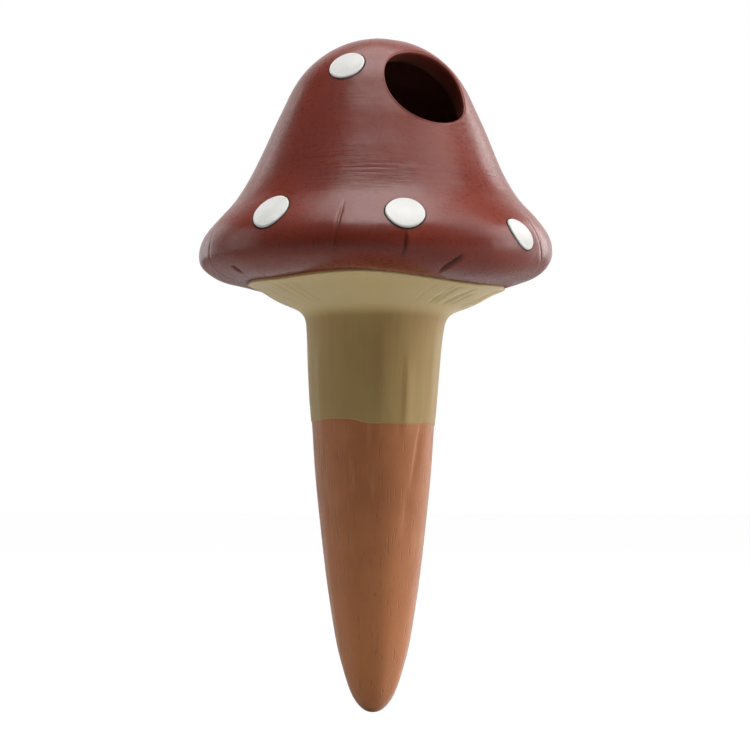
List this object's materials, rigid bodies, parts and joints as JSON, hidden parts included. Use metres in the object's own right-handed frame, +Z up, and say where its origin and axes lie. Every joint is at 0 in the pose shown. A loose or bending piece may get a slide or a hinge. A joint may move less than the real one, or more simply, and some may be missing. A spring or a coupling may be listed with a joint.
{
  "type": "self watering spike",
  "caption": "Hollow mushroom-shaped clay spike for a plant pot: water poured in at the mouth in its cap seeps out through the bare pointed stem.",
  "frame": {"origin": "on the axis at the soil line, where the khaki coat ends and the bare spike begins", "axes": "+Z up along the stem to the top of the cap; -Y is the front, and the fill mouth faces the front right"},
  "size_m": [0.0835, 0.0834, 0.1596],
  "materials": {
    "cap_finish": "dark brown-red satin coat, brushed on in level strokes",
    "bare_clay": "bare fired terracotta, matt and lightly scratched",
    "khaki_coat": "thin matt khaki coat on the gills and the upper stem, over the bare clay",
    "dot_finish": "thick matt white dabs"
  },
  "bodies": {
    "root": {"cap_shell": "cap_finish", "stem_spike": "bare_clay", "white_dots": "dot_finish"}
  },
  "joints": []
}
